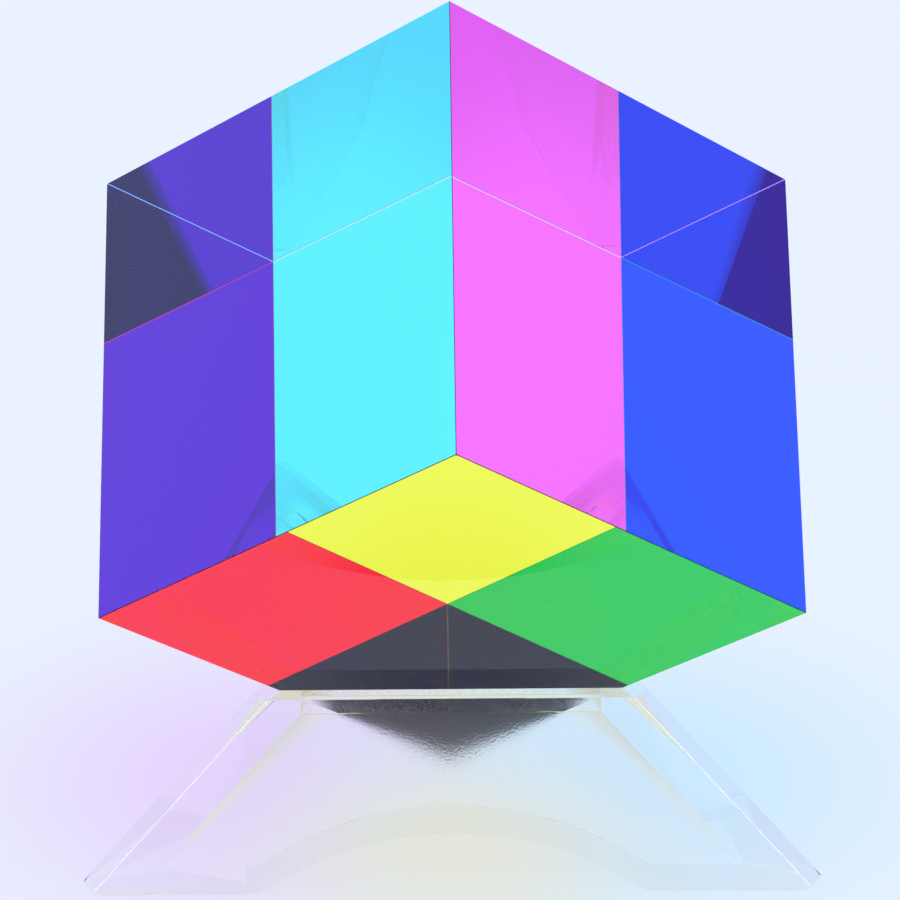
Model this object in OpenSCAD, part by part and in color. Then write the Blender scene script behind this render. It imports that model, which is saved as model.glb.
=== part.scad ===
// Colour-mixing display cube: a clear acrylic block with a cyan, a magenta and
// a yellow film bonded to the three faces that share its lowest corner, standing
// on that corner in a three-legged clear stand. Millimetres, +Z up. The origin is
// on the table, under the cube's lowest corner; the yellow face looks along -Y.

/* [Cube] */
// Edge of the finished cube, over its films
cube_edge = 50; // [40:0.5:70]
// Height of the cube's lowest corner above the table
tip_clear = 2.5; // [2:0.1:4]

/* [Films] */
// Thickness of each coloured film, with its adhesive
film_t = 0.06; // [0.04:0.005:0.3]

/* [Stand] */
// Height of the stand's rim above the table
stand_h = 17; // [13:0.5:22]
// Thickness of the stand's walls
wall_t = 4.75; // [3:0.25:6]
// Lean of the outer walls from upright
wall_lean = 32; // [28:1:38]
// Width of the flat rim on top of each wall
rim_w = 2; // [1.5:0.1:3]
// Width of the flat that blunts each outer corner
corner_flat = 2.45; // [1:0.05:4]
// Height of each seat land, which lies along one face of the cube
land_h = 1.9; // [0.5:0.1:2.5]
// Lean of the relief under each land, outwards going down
relief_lean = 1; // [0:0.5:8]
// Gap between each seat land and the cube's face
seat_gap = 0.02; // [0.01:0.01:0.05]
// Bevel along the bottom edge of each outer wall
foot_bevel = 0.5; // [0.2:0.1:1]
// Bevel along the bottom edge of each blunted corner
toe_bevel = 1.2; // [0.5:0.1:2.5]

/* [Arches] */
// Height of each arch's crown above the table
arch_h = 5.3; // [4.5:0.1:7]
// Radius of each arch
arch_r = 41; // [32:1:50]
// Radius that rounds each foot into its arch
foot_round = 4; // [2:0.5:6]

/* [Hidden] */

// The polished bevel along each edge runs back to the block's own corner, so it
// trims the films flush and no film reaches past another.
edge_bevel = 2 * film_t;

// Angles of a cube on its corner: its body diagonal from an edge, and the lean
// of its lower faces from upright.
diagonal_tilt = atan(sqrt(2));
face_lean = 90 - diagonal_tilt;

// Distance from the axis to the cube's faces, and to the outer and inner walls,
// at the height of the rim.
seat_r = (stand_h - tip_clear) * tan(face_lean) + seat_gap / cos(face_lean);
rim_r = seat_r + rim_w;
inner_r = rim_r - wall_t / cos(wall_lean);
relief_r = seat_r - land_h * tan(face_lean);
corner_r = 2 * rim_r - corner_flat * cos(30);
corner_lean = atan(2 * tan(wall_lean));
foot_r = rim_r + stand_h * tan(wall_lean);
toe_r = corner_r + stand_h * tan(corner_lean);

// Larger than anything that it cuts, and an overrun for clean cuts.
reach = 4 * cube_edge;
over = 1;

arch_facets = 96;
film_colours = ["cyan", "magenta", "yellow"];

// Stands a cube that has its corner at the origin on that corner, with its
// first face to the right, its second to the left and its third to the front.
module on_corner() {
    translate([0, 0, tip_clear])
        rotate([0, 0, 180])
            rotate([diagonal_tilt, 0, 0])
                rotate([0, 0, 45])
                    children();
}

// Turns a face normal to Z into the face normal to the given axis.
module facing(axis) {
    if (axis == 0) rotate([0, 90, 0]) mirror([1, 0, 0]) children();
    else if (axis == 1) rotate([-90, 0, 0]) mirror([0, 1, 0]) children();
    else children();
}

// A square bar along one edge of the cube, whose flat cuts that edge's bevel.
module edge_bar(axis, u, v) {
    bar = edge_bevel * sqrt(2);
    near = cube_edge * u;
    far = cube_edge * v;
    mid = cube_edge / 2;
    long = cube_edge + 2 * over;
    if (axis == 0) translate([mid, near, far]) rotate([45, 0, 0]) cube([long, bar, bar], center = true);
    if (axis == 1) translate([near, mid, far]) rotate([0, 45, 0]) cube([bar, long, bar], center = true);
    if (axis == 2) translate([near, far, mid]) rotate([0, 0, 45]) cube([bar, bar, long], center = true);
}

// The bars of all twelve edges, or of the nine that a clear face touches.
module edge_bars(clear_only) {
    for (axis = [0:2], u = [0, 1], v = [0, 1])
        if (!clear_only || u + v > 0) edge_bar(axis, u, v);
}

module acrylic_block() {
    color("white", 0.25)
        on_corner()
            difference() {
                translate([film_t, film_t, film_t]) cube(cube_edge - film_t);
                edge_bars(true);
            }
}

module film(axis) {
    side = cube_edge - film_t / 2;
    color(film_colours[axis], 0.7)
        on_corner()
            facing(axis)
                difference() {
                    translate([film_t / 2, film_t / 2, 0]) cube([side, side, film_t]);
                    edge_bars(false);
                }
}

// The space inside three planes around the axis. Each is r from the axis at
// height z, and leans by lean from upright: outwards going down if positive.
module three_sided(r, z, lean) {
    intersection_for (k = [0:2])
        rotate([0, 0, 120 * k])
            translate([0, -r, z])
                rotate([-lean, 0, 0])
                    translate([-reach / 2, 0, -reach / 2])
                        cube(reach);
}

module stand_outside() {
    intersection() {
        translate([-reach / 2, -reach / 2, 0]) cube([reach, reach, stand_h]);
        three_sided(rim_r, stand_h, wall_lean);
        rotate([0, 0, 60]) three_sided(corner_r, stand_h, corner_lean);
        three_sided(foot_r - foot_bevel, 0, -45);
        rotate([0, 0, 60]) three_sided(toe_r - toe_bevel, 0, -45);
    }
}

// Where the cube's corner goes, with the relief below the lands.
module seat() {
    three_sided(seat_r, stand_h, -face_lean);
    three_sided(relief_r, stand_h - land_h, relief_lean);
}

// Outline of one arch: a round crown that flares into the two feet.
module arch_outline() {
    centre_z = arch_h - arch_r;
    foot_x = sqrt(pow(arch_r + foot_round, 2) - pow(foot_round - centre_z, 2));
    meet = arch_r / (arch_r + foot_round);
    meet_x = foot_x * meet;
    meet_z = centre_z + (foot_round - centre_z) * meet;
    translate([0, centre_z]) circle(r = arch_r, $fn = arch_facets);
    for (side = [-1, 1])
        difference() {
            polygon([
                [0, -over], [side * foot_x, -over], [side * foot_x, foot_round],
                [side * meet_x, meet_z], [0, meet_z]
            ]);
            translate([side * foot_x, foot_round]) circle(r = foot_round, $fn = arch_facets);
        }
}

module stand() {
    color("white", 0.4)
        difference() {
            stand_outside();
            seat();
            three_sided(inner_r, stand_h, wall_lean);
            for (k = [0:2])
                rotate([90, 0, 120 * k])
                    linear_extrude(2 * foot_r) arch_outline();
        }
}

acrylic_block();
film(0);  // cyan_film
film(1);  // magenta_film
film(2);  // yellow_film
stand();
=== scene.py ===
import math

import bmesh
import bpy
from mathutils import Matrix, Vector


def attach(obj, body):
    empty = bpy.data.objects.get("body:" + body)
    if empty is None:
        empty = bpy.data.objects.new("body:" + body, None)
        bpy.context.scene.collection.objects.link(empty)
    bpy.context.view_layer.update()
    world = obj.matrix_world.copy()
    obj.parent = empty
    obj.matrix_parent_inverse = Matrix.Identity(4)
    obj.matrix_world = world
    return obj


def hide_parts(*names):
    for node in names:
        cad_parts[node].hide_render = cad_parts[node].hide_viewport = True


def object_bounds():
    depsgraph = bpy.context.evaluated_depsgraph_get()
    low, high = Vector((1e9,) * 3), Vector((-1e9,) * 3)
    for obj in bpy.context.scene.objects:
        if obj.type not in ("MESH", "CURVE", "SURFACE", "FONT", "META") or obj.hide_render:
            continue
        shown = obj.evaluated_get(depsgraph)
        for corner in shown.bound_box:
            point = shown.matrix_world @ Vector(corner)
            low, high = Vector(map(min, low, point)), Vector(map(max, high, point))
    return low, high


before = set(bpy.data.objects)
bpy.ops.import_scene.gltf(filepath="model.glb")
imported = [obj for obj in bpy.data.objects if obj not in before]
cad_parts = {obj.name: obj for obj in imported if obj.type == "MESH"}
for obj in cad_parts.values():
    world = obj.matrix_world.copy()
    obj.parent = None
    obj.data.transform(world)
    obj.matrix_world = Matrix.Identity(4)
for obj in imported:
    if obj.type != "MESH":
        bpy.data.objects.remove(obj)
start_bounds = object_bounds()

# ---------------------------------------------------------------- sizes, in metres
EDGE = 0.050  # cube edge over the films
TIP = 0.0025  # lowest corner above the table
FILM = 0.00006  # film with its adhesive
BEVEL = 0.00005  # polished bevel along each edge of the cube
BACK_BEVEL = 0.00009  # the wider bevel of the two film edges that face away
BOND = 0.00001  # unseen slit between block and film, so that the surfaces stay apart
ACRYLIC = 1.49

SCENE = bpy.context.scene
TILT = math.atan(math.sqrt(2))
STAND_ON_CORNER = (
    Matrix.Translation((0, 0, TIP))
    @ Matrix.Rotation(math.pi, 4, "Z")
    @ Matrix.Rotation(TILT, 4, "X")
    @ Matrix.Rotation(math.pi / 4, 4, "Z")
)


# ---------------------------------------------------------------- mesh helpers
def make_object(name, bm, materials):
    bmesh.ops.recalc_face_normals(bm, faces=bm.faces)
    mesh = bpy.data.meshes.new(name)
    bm.to_mesh(mesh)
    bm.free()
    obj = bpy.data.objects.new(name, mesh)
    SCENE.collection.objects.link(obj)
    for material in materials:
        mesh.materials.append(material)
    return obj


def solid_box(low, high):
    bm = bmesh.new()
    bmesh.ops.create_cube(bm, size=1.0)
    for v in bm.verts:
        for k in range(3):
            v.co[k] = low[k] if v.co[k] < 0 else high[k]
    return bm


def trim(bm, point, normal):
    """Cuts away what lies beyond a plane, and closes the cut."""
    cut = bmesh.ops.bisect_plane(
        bm, geom=bm.verts[:] + bm.edges[:] + bm.faces[:], dist=1e-8,
        plane_co=point, plane_no=normal, clear_outer=True,
    )
    rim = [g for g in cut["geom_cut"] if isinstance(g, bmesh.types.BMEdge)]
    if rim:
        bmesh.ops.contextual_create(bm, geom=rim)


def bevel_edges(bm, clear_only=False):
    """Trims a solid in the cube's own axes by the flat bevel of each cube edge."""
    for axis in range(3):
        for u in (0, 1):
            for v in (0, 1):
                if clear_only and u + v == 0:
                    continue
                other = [k for k in range(3) if k != axis]
                normal = Vector((0, 0, 0))
                point = Vector((0, 0, 0))
                for k, side in zip(other, (u, v)):
                    normal[k] = 1 if side else -1
                    point[k] = EDGE * side
                normal.normalize()
                bevel = BACK_BEVEL if axis < 2 and (u, v) == (0, 1) else BEVEL
                point -= normal * (bevel / math.sqrt(2))
                trim(bm, point, normal)


def keep_in_box(obj):
    """Blunts the solid's outermost corners to the CAD's box."""
    bm = bmesh.new()
    bm.from_mesh(obj.data)
    low, high = (Vector(v) for v in start_bounds)
    for k in (1, 2):
        axis = Vector([float(i == k) for i in range(3)])
        trim(bm, high, axis)
        if k == 1:
            trim(bm, low, -axis)
    bm.to_mesh(obj.data)
    bm.free()


def mark(obj, name, test):
    """Gives each face a number in a named attribute."""
    values = [float(test(f)) for f in obj.data.polygons]
    layer = obj.data.attributes.new(name, "FLOAT", "FACE")
    layer.data.foreach_set("value", values)


# ---------------------------------------------------------------- node helpers
class Nodes:
    """Builds one node tree. The value given for an input may be a socket, a number or a tuple."""

    def __init__(self, tree):
        self.tree = tree
        tree.nodes.clear()

    def add(self, kind, inputs=(), **settings):
        node = self.tree.nodes.new(kind)
        for key, value in settings.items():
            setattr(node, key, value)
        for key, value in dict(inputs).items():
            self.feed(node.inputs[key], value)
        return node

    def feed(self, socket, value):
        if isinstance(value, bpy.types.NodeSocket):
            self.tree.links.new(value, socket)
        else:
            socket.default_value = value

    def math(self, operation, *values, clamp=False):
        """Chains one operation over sockets and numbers."""
        result = values[0]
        for value in values[1:]:
            node = self.add("ShaderNodeMath", {0: result, 1: value}, operation=operation, use_clamp=clamp)
            result = node.outputs["Value"]
        return result

    def vector(self, operation, first, second=None):
        node = self.add("ShaderNodeVectorMath", {0: first}, operation=operation)
        if second is not None:
            self.feed(node.inputs[1], second)
        return node.outputs["Value" if operation in ("LENGTH", "DOT_PRODUCT") else "Vector"]

    def ramp(self, source, none, full, kind="SMOOTHSTEP"):
        """0 to 1 between two values of a socket."""
        inputs = {"Value": source, "From Min": none, "From Max": full}
        return self.add("ShaderNodeMapRange", inputs, interpolation_type=kind).outputs["Result"]

    def mix(self, factor, first, second):
        """Mixes two colours, whose sockets are 6 and 7 of the Mix node."""
        return self.add("ShaderNodeMix", {0: factor, 6: first, 7: second}, data_type="RGBA").outputs[2]

    def attribute(self, name):
        return self.add("ShaderNodeAttribute", attribute_name=name).outputs["Fac"]

    def place(self):
        return self.add("ShaderNodeTexCoord").outputs["Object"]


def new_material(name):
    material = bpy.data.materials.new(name)
    material.use_nodes = True
    return material, Nodes(material.node_tree)


def rgb(colour):
    return (*colour, 1)


def mirror_ray(n, path):
    """1 for a ray that has just been mirrored, and 0 for one that was refracted."""
    return n.math("SUBTRACT", path.outputs["Is Glossy Ray"], path.outputs["Is Transmission Ray"], clamp=True)


# ---------------------------------------------------------------- materials
def handling_marks_group():
    """Hairline scratches in rubbed patches, as a roughness for a polished face."""
    group = bpy.data.node_groups.new("handling_marks", "ShaderNodeTree")
    group.interface.new_socket("Vector", in_out="INPUT", socket_type="NodeSocketVector")
    group.interface.new_socket("Amount", in_out="INPUT", socket_type="NodeSocketFloat")
    group.interface.new_socket("Roughness", in_out="OUTPUT", socket_type="NodeSocketFloat")
    n = Nodes(group)
    given = n.add("NodeGroupInput").outputs
    patch = n.add("ShaderNodeTexNoise", {"Vector": given["Vector"], "Scale": 70.0, "Detail": 2.0})
    rubbed = n.ramp(patch.outputs["Fac"], 0.48, 0.70, "LINEAR")
    lines = []
    for turn, stretch in ((0.6, (60, 1900, 1900)), (-0.9, (90, 2600, 2600))):
        lay = n.add("ShaderNodeMapping", {
            "Vector": given["Vector"], "Rotation": (turn, 0.4 * turn, turn), "Scale": stretch,
        })
        strand = n.add("ShaderNodeTexNoise", {
            "Vector": lay.outputs["Vector"], "Scale": 1.0, "Distortion": 0.3,
        })
        lines.append(n.ramp(strand.outputs["Fac"], 0.70, 0.74, "LINEAR"))
    marks = n.math("MULTIPLY", given["Amount"], n.math("MAXIMUM", *lines), rubbed)
    n.add("NodeGroupOutput", {"Roughness": marks})
    return group


HANDLING_MARKS = handling_marks_group()


def clear_acrylic(name):
    """Polished acrylic with handling marks. Returns the material, its nodes, surface and output."""
    material, n = new_material(name)
    marks = n.add("ShaderNodeGroup", node_tree=HANDLING_MARKS)
    n.feed(marks.inputs["Vector"], n.place())
    n.feed(marks.inputs["Amount"], 0.05)
    surface = n.add("ShaderNodeBsdfPrincipled", {
        "Base Color": rgb((1, 1, 1)), "IOR": ACRYLIC, "Transmission Weight": 1.0,
        "Roughness": marks.outputs["Roughness"],
    })
    out = n.add("ShaderNodeOutputMaterial", {"Surface": surface.outputs["BSDF"]})
    return material, n, surface, out


def cube_material(name):
    """Acrylic whose bonded faces let light straight through, as adhesive of its own index does."""
    material, n, surface, out = clear_acrylic(name)
    n.feed(surface.inputs["Alpha"], n.math("SUBTRACT", 1.0, n.attribute("bonded")))
    return material, n, surface, out


def film_material(name, optical_depth):
    """optical_depth: what the film takes from red, green and blue along its normal."""
    material, n, surface, out = cube_material(name)
    surface.inputs["Specular Tint"].default_value = rgb((0.2, 0.2, 0.2))
    top = max(optical_depth)
    dye = n.add("ShaderNodeVolumeAbsorption", {
        "Color": rgb([1 - depth / top for depth in optical_depth]), "Density": top / FILM,
    })
    n.feed(out.inputs["Volume"], dye.outputs["Volume"])
    return material


def stand_material():
    """Moulded acrylic: polished outside, satin and grainy inside, with painted yellow light on thin edges.
    Face attributes say which is where.
    """
    material, n, surface, _out = clear_acrylic("clear_stand")
    place = n.place()
    height = n.add("ShaderNodeSeparateXYZ", {"Vector": place}).outputs["Z"]
    radius = n.vector("LENGTH", n.vector("MULTIPLY", place, (1, 1, 0)))
    grain = n.add("ShaderNodeTexNoise", {"Vector": place, "Scale": 5200.0, "Detail": 1.0}).outputs["Fac"]

    marks = surface.inputs["Roughness"].links[0].from_socket
    satin = n.math("MULTIPLY", n.attribute("satin"), 0.34)
    n.feed(surface.inputs["Roughness"], n.math("ADD", satin, marks))
    near_seat = n.ramp(radius, 0.026, 0.019)
    bump = n.add("ShaderNodeBump", {
        "Height": grain, "Distance": 0.00005,
        "Strength": n.math("MULTIPLY", n.attribute("grainy"), near_seat),
    })
    n.feed(surface.inputs["Normal"], bump.outputs["Normal"])

    # Where the lands bear on the cube there is no air left to mirror: they look into it.
    low = n.math("ADD", n.ramp(height, 0.0170, 0.0160), n.math("MULTIPLY", grain, 0.5), -0.25)
    bearing = n.math("MULTIPLY", n.attribute("seated"), low, n.ramp(radius, 0.0175, 0.0145), clamp=True)
    clear = n.math("ADD", n.attribute("open"), bearing, clamp=True)
    n.feed(surface.inputs["Alpha"], n.math("SUBTRACT", 1.0, clear, clamp=True))

    # Painted yellow light: the base colour of thin edges is tinted yellow, standing in for the light of the
    # yellow film.
    painted_yellow_light = n.mix(n.attribute("painted_yellow_light"), rgb((1, 1, 1)), rgb((1.0, 0.80, 0.12)))
    n.feed(surface.inputs["Base Color"], painted_yellow_light)
    return material


# ---------------------------------------------------------------- cube
core = solid_box([FILM + BOND] * 3, [EDGE] * 3)
bevel_edges(core, clear_only=True)
core = make_object("block", core, [cube_material("clear_block")[0]])
mark(core, "bonded", lambda f: min(f.normal) < -0.99)
core.data.transform(STAND_ON_CORNER)
keep_in_box(core)
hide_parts("acrylic_block")
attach(core, "cube")

FILMS = [
    ("cyan", 0, (2.1, 0.15, 0.0)),
    ("magenta", 1, (0.0, 1.5, 0.1)),
    ("yellow", 2, (0.0, 0.0, 2.2)),
]
for colour, axis, depth in FILMS:
    low = [FILM / 2] * 3
    high = [EDGE] * 3
    low[axis] = 0.0
    high[axis] = FILM
    sheet = solid_box(low, high)
    bevel_edges(sheet)
    sheet = make_object(colour + "_sheet", sheet, [film_material(colour + "_film", depth)])
    mark(sheet, "bonded", lambda f: f.normal[axis] > 0.99)
    sheet.data.transform(STAND_ON_CORNER)
    keep_in_box(sheet)
    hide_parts(colour + "_film")
    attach(sheet, "cube")

# ---------------------------------------------------------------- stand
ARCH_AXES = [Vector((math.cos(a), math.sin(a), 0)) for a in map(math.radians, (-90, 30, 150))]


def stand_face(face):
    """Which part of the stand a face is: seat, lip, inside, arch, arch_edge, under or outside."""
    n, c = face.normal, face.center
    outward = Vector((n.x, n.y)).dot(Vector((c.x, c.y)).normalized())
    if n.z < -0.95:
        return "under"
    if n.z < 0.1 and any(abs(n.dot(axis)) < 0.02 for axis in ARCH_AXES):
        return "arch"
    if outward < -0.3:
        if 0.0125 < c.z < 0.0137 and face.area < 1.2e-5:
            return "lip"
        return "seat" if n.z > -0.1 else "inside"
    if n.z < -0.02 and c.z < 0.007 and face.area < 3e-6:
        return "arch_edge"
    return "outside"


bm = bmesh.new()
bm.from_mesh(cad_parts["stand"].data)
bmesh.ops.remove_doubles(bm, verts=bm.verts, dist=1e-6)
bmesh.ops.dissolve_limit(bm, angle_limit=math.radians(1), verts=bm.verts, edges=bm.edges)
sharp = [e for e in bm.edges if len(e.link_faces) == 2 and e.calc_face_angle() > math.radians(14)]
bmesh.ops.bevel(
    bm, geom=sharp, offset=0.00025, offset_type="OFFSET", segments=2, profile=0.5,
    affect="EDGES", clamp_overlap=True,
)
stand = make_object("stand_body", bm, [stand_material()])
# Face attributes: surface finishes and alpha, and the painted yellow light on thin edges.
FINISHES_AND_PAINTED_LIGHT = {
    "satin": {
        "inside": 1.0, "lip": 0.3, "arch": 1.5, "under": 1.0, "seat": 0.6, "arch_edge": 0.06,
        "outside": 0.06,
    },
    "grainy": {"inside": 1.0, "seat": 1.0},
    "open": {"arch": 0.93, "under": 0.93},
    "seated": {"seat": 0.92},
    # Painted yellow light on the lip and arch edges, in the base colour.
    "painted_yellow_light": {"lip": 1.0, "arch_edge": 0.45},
}
for finish_or_painted_light, amounts in FINISHES_AND_PAINTED_LIGHT.items():
    mark(stand, finish_or_painted_light, lambda f: amounts.get(stand_face(f), 0.0))
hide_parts("stand")
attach(stand, "stand")


# ---------------------------------------------------------------- stage
def floor_material():
    """A pale table, with painted coloured light standing in for what the films throw on it, a painted light
    pool and painted shade seen in mirrors.
    """
    material, n = new_material("studio_floor")
    place = n.place()
    path = n.add("ShaderNodeLightPath")

    def disc(centre, none, full, stretch=1.0):
        """1 inside a round or oval patch of the floor and 0 outside, with a soft border."""
        away = n.vector("MULTIPLY", n.vector("SUBTRACT", place, (*centre, 0)), (1, stretch, 0))
        return n.ramp(n.vector("LENGTH", away), none, full)

    # A painted pool of bright light on the floor behind the cube, never in plain view.
    indirect = n.math("SUBTRACT", 1.0, path.outputs["Is Camera Ray"])
    painted_light_pool = n.math("MULTIPLY", disc((0, 0.085), 0.038, 0.026, 0.5), indirect)
    colour = n.mix(painted_light_pool, rgb((0.739, 0.800, 0.910)), rgb((0.9, 1.0, 1.1)))
    # Painted coloured light: lavender, light blue and pale yellow-grey patches in the floor's emission where
    # the films' light would fall.
    for centre, size, tint in (
        ((-0.020, 0), 0.046, (0.73, 0.58, 0.92)),
        ((0.020, 0), 0.046, (0.53, 0.76, 0.95)),
        ((0, -0.014), 0.031, (0.72, 0.74, 0.66)),
    ):
        colour = n.mix(disc(centre, size, 0.0), colour, rgb(tint))

    # Painted shade of the stand, seen only in mirrored rays off the polished lower faces.
    mirrored = mirror_ray(n, path)
    for centre, none, full, tint in (
        ((0, -0.020), 0.060, 0.035, (0.72, 0.75, 0.58)),
        ((0, -0.010), 0.024, 0.006, (0.10, 0.08, 0.04)),
    ):
        shade = n.math("MULTIPLY", mirrored, disc(centre, none, full))
        colour = n.mix(shade, colour, rgb(tint))

    diffuse = n.add("ShaderNodeBsdfDiffuse", {"Color": rgb((0.10, 0.10, 0.10))})
    glow = n.add("ShaderNodeEmission", {"Color": colour})
    both = n.add("ShaderNodeAddShader", {0: diffuse.outputs["BSDF"], 1: glow.outputs["Emission"]})
    n.add("ShaderNodeOutputMaterial", {"Surface": both.outputs["Shader"]})
    return material


bm = bmesh.new()
bmesh.ops.create_circle(bm, cap_ends=True, radius=3.0, segments=64)
floor = make_object("floor", bm, [floor_material()])


CARD_LIFT = 0.0005  # clear of the table, so that the two don't share a plane
SOFT_EDGE = 0.010  # how far a card takes to fade in


def painted_shade_card(name, edge, far, brightness):
    """A card on the table outside the picture, with one soft edge, seen only through the cube; it glows at a
    fixed dim brightness as painted shade.
    """
    material, n = new_material(name)
    fade = n.add("ShaderNodeMixShader", {
        0: n.attribute("cover"),
        1: n.add("ShaderNodeBsdfTransparent").outputs["BSDF"],
        2: n.add("ShaderNodeEmission", {"Color": rgb(brightness)}).outputs["Emission"],
    })
    n.add("ShaderNodeOutputMaterial", {"Surface": fade.outputs["Shader"]})
    near = [Vector((*corner, CARD_LIFT)) for corner in edge]
    back = [Vector((*corner, CARD_LIFT)) for corner in far]
    inward = [(b - a).normalized() * (SOFT_EDGE / 2) for a, b in zip(near, back)]
    bm = bmesh.new()
    rows = [
        [bm.verts.new(a - i) for a, i in zip(near, inward)],
        [bm.verts.new(a + i) for a, i in zip(near, inward)],
        [bm.verts.new(b) for b in back],
    ]
    for one, two in zip(rows, rows[1:]):
        bm.faces.new((one[0], one[1], two[1], two[0]))
    card = make_object(name, bm, [material])
    layer = card.data.attributes.new("cover", "FLOAT", "POINT")
    layer.data.foreach_set("value", [0.0, 0.0, 1.0, 1.0, 1.0, 1.0])
    card.visible_camera = False
    card.visible_diffuse = False
    card.visible_glossy = False
    card.visible_shadow = False


# Two painted shade cards: dim glowing sheets, one teal-grey and one lavender.
painted_shade_card(
    "card_right", edge=((0.098, -0.056), (0.152, -0.006)), far=((0.40, -0.30), (0.40, 0.05)),
    brightness=(0.10, 0.15, 0.15),
)
painted_shade_card(
    "card_left", edge=((-0.12, -0.054), (-0.20, -0.029)), far=((-0.40, -0.30), (-0.40, 0.03)),
    brightness=(0.25, 0.20, 0.30),
)

# ---------------------------------------------------------------- light
world = bpy.data.worlds.new("studio")
SCENE.world = world
world.use_nodes = True
sky = Nodes(world.node_tree)
direction = sky.add("ShaderNodeTexCoord").outputs["Generated"]


def studio_light(boxes):
    """Even white studio light with soft boxes, each with its aim, radiance, border and core. It also builds
    the painted reflections that mirrored rays see.
    """
    colour = rgb((0.823, 0.888, 1.0))
    for aim, radiance, border, core in boxes:
        box = sky.ramp(sky.vector("DOT_PRODUCT", direction, aim), border, core)
        colour = sky.mix(box, colour, rgb(radiance))
    return colour


LEFT, RIGHT = (-0.89, 0.35, 0.30), (0.89, 0.35, 0.30)
through = studio_light((
    (LEFT, (0.6, 1.3, 1.5), 0.75, 0.95),
    (RIGHT, (1.1, 0.7, 1.1), 0.75, 0.95),
))
GLINT = (7.0, 7.0, 7.0)  # painted glints: small lights seen only in mirrored rays, which show on thin edges
PAINTED_GLINT_AIMS = ((-0.65, 0.18, 0.74), (0.65, 0.18, 0.74), (-0.27, -0.55, 0.79), (0.27, -0.55, 0.79))
# Painted reflections: mirrored rays see this recoloured copy of the studio light, with other colours in the
# two side boxes and the painted glints.
mirrored = studio_light((
    (LEFT, (0.8, 1.0, 1.0), 0.75, 0.95),
    (RIGHT, (0.7, 0.2, 1.2), 0.75, 0.95),
    *((aim, GLINT, 0.96, 0.985) for aim in PAINTED_GLINT_AIMS),
))
light = sky.mix(mirror_ray(sky, sky.add("ShaderNodeLightPath")), through, mirrored)
background = sky.add("ShaderNodeBackground", {"Color": light})
sky.add("ShaderNodeOutputWorld", {"Surface": background.outputs["Background"]})

# ---------------------------------------------------------------- camera
camera_data = bpy.data.cameras.new("camera")
camera = bpy.data.objects.new("camera", camera_data)
SCENE.collection.objects.link(camera)
camera.location = (-0.0072, -0.4721, 0.2866)
camera.rotation_euler = (math.radians(62.36), 0, math.radians(-0.88))
camera_data.sensor_width = 36.0
camera_data.lens = 207.9
camera_data.clip_start = 0.01
SCENE.camera = camera

SCENE.view_settings.view_transform = "Standard"
SCENE.cycles.max_bounces = 64
SCENE.cycles.transmission_bounces = 64
SCENE.cycles.glossy_bounces = 32
SCENE.cycles.transparent_max_bounces = 64
SCENE.cycles.sample_clamp_indirect = 4.0
